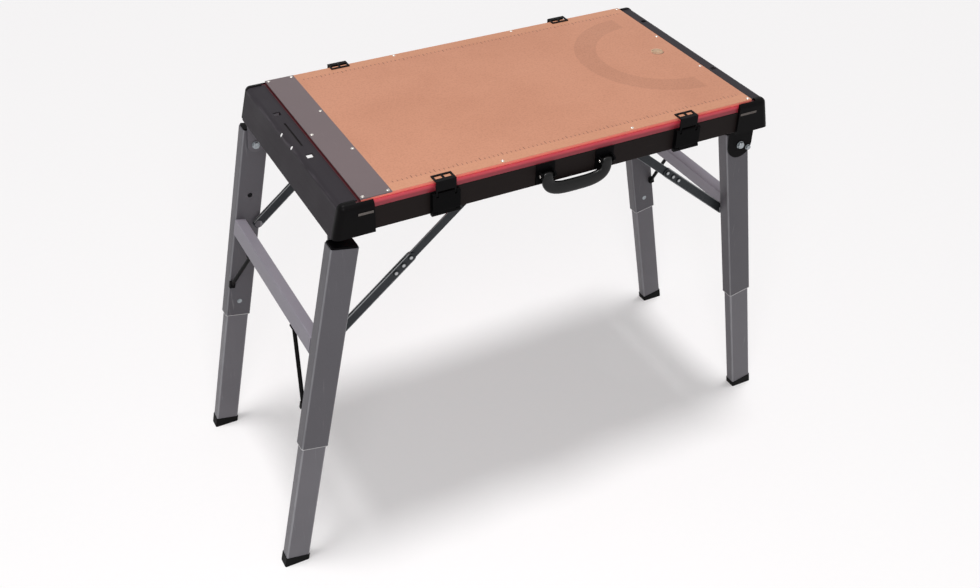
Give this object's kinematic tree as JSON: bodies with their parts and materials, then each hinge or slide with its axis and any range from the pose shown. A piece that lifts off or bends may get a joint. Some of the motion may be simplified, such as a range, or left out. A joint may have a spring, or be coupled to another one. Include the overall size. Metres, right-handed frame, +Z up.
{
  "type": "folding workbench",
  "caption": "Folding portable workbench: flat screwed-on work board over a tray frame, splayed telescopic tube legs with folding stays, board catches and a carry handle.",
  "frame": {"origin": "on the floor, midway between the four feet", "axes": "+X along the bench to the right as seen from the handle side, +Y away from the handle side, +Z up"},
  "size_m": [1.3516, 0.573, 0.9227],
  "materials": {
    "board": "smooth faced",
    "plate": "satin",
    "deck": "satin",
    "bright_steel": "bright",
    "black_steel": "satin",
    "black_plastic": "satin",
    "rail": "satin",
    "end_rail": "satin",
    "zinc": "zinc plated",
    "hardware": "plated",
    "leg": "satin"
  },
  "bodies": {
    "frame": {"top_board": "board", "end_plate": "plate", "red_deck": "deck", "board_screws": "bright_steel", "leg_pivot_bolts": "bright_steel", "catch_bases": "black_steel", "handle_lugs": "black_plastic", "front_rail": "rail", "back_rail": "rail", "left_end_rail": "end_rail", "left_cross_bar": "black_steel", "front_left_cap": "black_plastic", "front_left_bracket": "black_steel", "back_left_cap": "black_plastic", "back_left_bracket": "black_steel", "right_end_rail": "end_rail", "right_cross_bar": "black_steel", "front_right_cap": "black_plastic", "front_right_bracket": "black_steel", "back_right_cap": "black_plastic", "back_right_bracket": "black_steel"},
    "left_legs": {"front_left_leg": "leg", "back_left_leg": "leg", "left_stretcher": "leg", "left_knee_braces": "black_steel", "left_leg_plugs": "black_plastic"},
    "left_lower_stays": {"front_left_lower_stay": "zinc", "back_left_lower_stay": "zinc"},
    "left_upper_stays": {"front_left_upper_stay": "zinc", "back_left_upper_stay": "zinc"},
    "front_left_inner_leg": {"front_left_inner_leg": "leg", "front_left_foot": "black_plastic"},
    "front_left_lock_button": {"front_left_lock_button": "hardware"},
    "back_left_inner_leg": {"back_left_inner_leg": "leg", "back_left_foot": "black_plastic"},
    "back_left_lock_button": {"back_left_lock_button": "hardware"},
    "right_legs": {"front_right_leg": "leg", "back_right_leg": "leg", "right_stretcher": "leg", "right_knee_braces": "black_steel", "right_leg_plugs": "black_plastic"},
    "right_lower_stays": {"front_right_lower_stay": "zinc", "back_right_lower_stay": "zinc"},
    "right_upper_stays": {"front_right_upper_stay": "zinc", "back_right_upper_stay": "zinc"},
    "front_right_inner_leg": {"front_right_inner_leg": "leg", "front_right_foot": "black_plastic"},
    "front_right_lock_button": {"front_right_lock_button": "hardware"},
    "back_right_inner_leg": {"back_right_inner_leg": "leg", "back_right_foot": "black_plastic"},
    "back_right_lock_button": {"back_right_lock_button": "hardware"},
    "front_left_catch_lever": {"front_left_catch_lever": "black_plastic"},
    "front_left_catch_hook": {"front_left_catch_hook": "hardware"},
    "back_left_catch_lever": {"back_left_catch_lever": "black_plastic"},
    "back_left_catch_hook": {"back_left_catch_hook": "hardware"},
    "front_right_catch_lever": {"front_right_catch_lever": "black_plastic"},
    "front_right_catch_hook": {"front_right_catch_hook": "hardware"},
    "back_right_catch_lever": {"back_right_catch_lever": "black_plastic"},
    "back_right_catch_hook": {"back_right_catch_hook": "hardware"},
    "carry_handle": {"carry_handle": "black_plastic"}
  },
  "joints": [
    {"name": "left_leg_fold", "type": "hinge", "parent": "frame", "child": "left_legs", "pos_m": [-0.4899, 0, 0.788], "axis": [0, -1, 0], "range_deg": [0, 101.25]},
    {"name": "left_lower_stay_turn", "type": "hinge", "parent": "left_legs", "child": "left_lower_stays", "pos_m": [-0.50594, 0, 0.58493], "axis": [0, -1, 0], "range_deg": [-146.3, 0]},
    {"name": "left_upper_stay_turn", "type": "hinge", "parent": "frame", "child": "left_upper_stays", "pos_m": [-0.211, 0, 0.83], "axis": [0, -1, 0], "range_deg": [0, 126.88]},
    {"name": "front_left_leg_slide", "type": "slide", "parent": "left_legs", "child": "front_left_inner_leg", "axis": [0.1952, 0, 0.9808], "range_m": [0, 0.291]},
    {"name": "front_left_lock_button_press", "type": "slide", "parent": "left_legs", "child": "front_left_lock_button", "axis": [0, 1, 0], "range_m": [-0.003, 0], "stiffness_N_per_m": 600},
    {"name": "back_left_leg_slide", "type": "slide", "parent": "left_legs", "child": "back_left_inner_leg", "axis": [0.1952, 0, 0.9808], "range_m": [0, 0.291]},
    {"name": "back_left_lock_button_press", "type": "slide", "parent": "left_legs", "child": "back_left_lock_button", "axis": [0, -1, 0], "range_m": [-0.003, 0], "stiffness_N_per_m": 600},
    {"name": "right_leg_fold", "type": "hinge", "parent": "frame", "child": "right_legs", "pos_m": [0.4899, 0, 0.788], "axis": [0, 1, 0], "range_deg": [0, 101.25]},
    {"name": "right_lower_stay_turn", "type": "hinge", "parent": "right_legs", "child": "right_lower_stays", "pos_m": [0.50594, 0, 0.58493], "axis": [0, 1, 0], "range_deg": [-146.3, 0]},
    {"name": "right_upper_stay_turn", "type": "hinge", "parent": "frame", "child": "right_upper_stays", "pos_m": [0.211, 0, 0.83], "axis": [0, 1, 0], "range_deg": [0, 126.88]},
    {"name": "front_right_leg_slide", "type": "slide", "parent": "right_legs", "child": "front_right_inner_leg", "axis": [-0.1952, 0, 0.9808], "range_m": [0, 0.291]},
    {"name": "front_right_lock_button_press", "type": "slide", "parent": "right_legs", "child": "front_right_lock_button", "axis": [0, 1, 0], "range_m": [-0.003, 0], "stiffness_N_per_m": 600},
    {"name": "back_right_leg_slide", "type": "slide", "parent": "right_legs", "child": "back_right_inner_leg", "axis": [-0.1952, 0, 0.9808], "range_m": [0, 0.291]},
    {"name": "back_right_lock_button_press", "type": "slide", "parent": "right_legs", "child": "back_right_lock_button", "axis": [0, -1, 0], "range_m": [-0.003, 0], "stiffness_N_per_m": 600},
    {"name": "front_left_catch_lever_swing", "type": "hinge", "parent": "frame", "child": "front_left_catch_lever", "pos_m": [-0.271, -0.2785, 0.849], "axis": [1, 0, 0], "range_deg": [0, 75]},
    {"name": "front_left_catch_hook_swing", "type": "hinge", "parent": "front_left_catch_lever", "child": "front_left_catch_hook", "pos_m": [-0.271, -0.28, 0.891], "axis": [1, 0, 0], "range_deg": [0, 60.5]},
    {"name": "back_left_catch_lever_swing", "type": "hinge", "parent": "frame", "child": "back_left_catch_lever", "pos_m": [-0.271, 0.2785, 0.849], "axis": [-1, 0, 0], "range_deg": [0, 75]},
    {"name": "back_left_catch_hook_swing", "type": "hinge", "parent": "back_left_catch_lever", "child": "back_left_catch_hook", "pos_m": [-0.271, 0.28, 0.891], "axis": [-1, 0, 0], "range_deg": [0, 60.5]},
    {"name": "front_right_catch_lever_swing", "type": "hinge", "parent": "frame", "child": "front_right_catch_lever", "pos_m": [0.302, -0.2785, 0.849], "axis": [1, 0, 0], "range_deg": [0, 75]},
    {"name": "front_right_catch_hook_swing", "type": "hinge", "parent": "front_right_catch_lever", "child": "front_right_catch_hook", "pos_m": [0.302, -0.28, 0.891], "axis": [1, 0, 0], "range_deg": [0, 60.5]},
    {"name": "back_right_catch_lever_swing", "type": "hinge", "parent": "frame", "child": "back_right_catch_lever", "pos_m": [0.302, 0.2785, 0.849], "axis": [-1, 0, 0], "range_deg": [0, 75]},
    {"name": "back_right_catch_hook_swing", "type": "hinge", "parent": "back_right_catch_lever", "child": "back_right_catch_hook", "pos_m": [0.302, 0.28, 0.891], "axis": [-1, 0, 0], "range_deg": [0, 60.5]},
    {"name": "handle_swing", "type": "hinge", "parent": "frame", "child": "carry_handle", "pos_m": [0.0265, -0.283, 0.874], "axis": [-1, 0, 0], "range_deg": [0, 100]}
  ],
  "couplings": [
    {"joint": "left_lower_stay_turn", "follows": "left_leg_fold", "ratio": -1.44},
    {"joint": "left_upper_stay_turn", "follows": "left_leg_fold", "ratio": 1.2482},
    {"joint": "right_lower_stay_turn", "follows": "right_leg_fold", "ratio": -1.44},
    {"joint": "right_upper_stay_turn", "follows": "right_leg_fold", "ratio": 1.2482},
    {"joint": "front_left_catch_hook_swing", "follows": "front_left_catch_lever_swing", "ratio": 0.8},
    {"joint": "back_left_catch_hook_swing", "follows": "back_left_catch_lever_swing", "ratio": 0.8},
    {"joint": "front_right_catch_hook_swing", "follows": "front_right_catch_lever_swing", "ratio": 0.8},
    {"joint": "back_right_catch_hook_swing", "follows": "back_right_catch_lever_swing", "ratio": 0.8}
  ]
}
